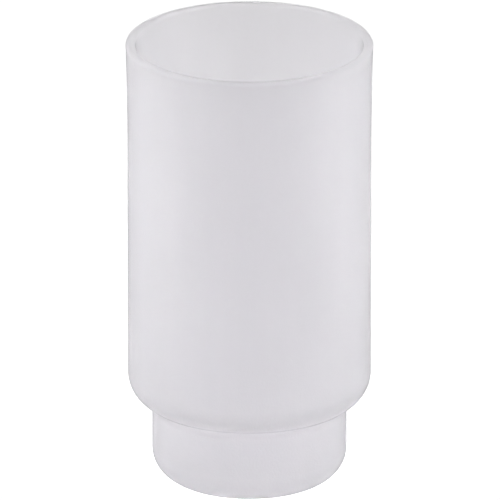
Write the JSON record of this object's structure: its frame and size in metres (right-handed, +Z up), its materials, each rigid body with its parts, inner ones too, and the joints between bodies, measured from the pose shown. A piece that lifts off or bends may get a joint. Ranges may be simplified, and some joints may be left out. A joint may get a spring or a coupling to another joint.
{
  "type": "bathroom tumbler",
  "caption": "Frosted glass bathroom tumbler with a slightly flared rim and a round shoulder above a narrower foot, which stands on a shelf or drops into a ring holder.",
  "frame": {"origin": "centre of the ring that the foot stands on, at the level of the shelf", "axes": "+Z up along the axis of the glass, towards the rim; X and Y are alike, because the glass is turned"},
  "size_m": [0.0672, 0.0672, 0.125],
  "materials": {
    "frosted_glass": "acid etched, satin"
  },
  "bodies": {
    "root": {"tumbler": "frosted_glass"}
  },
  "joints": []
}
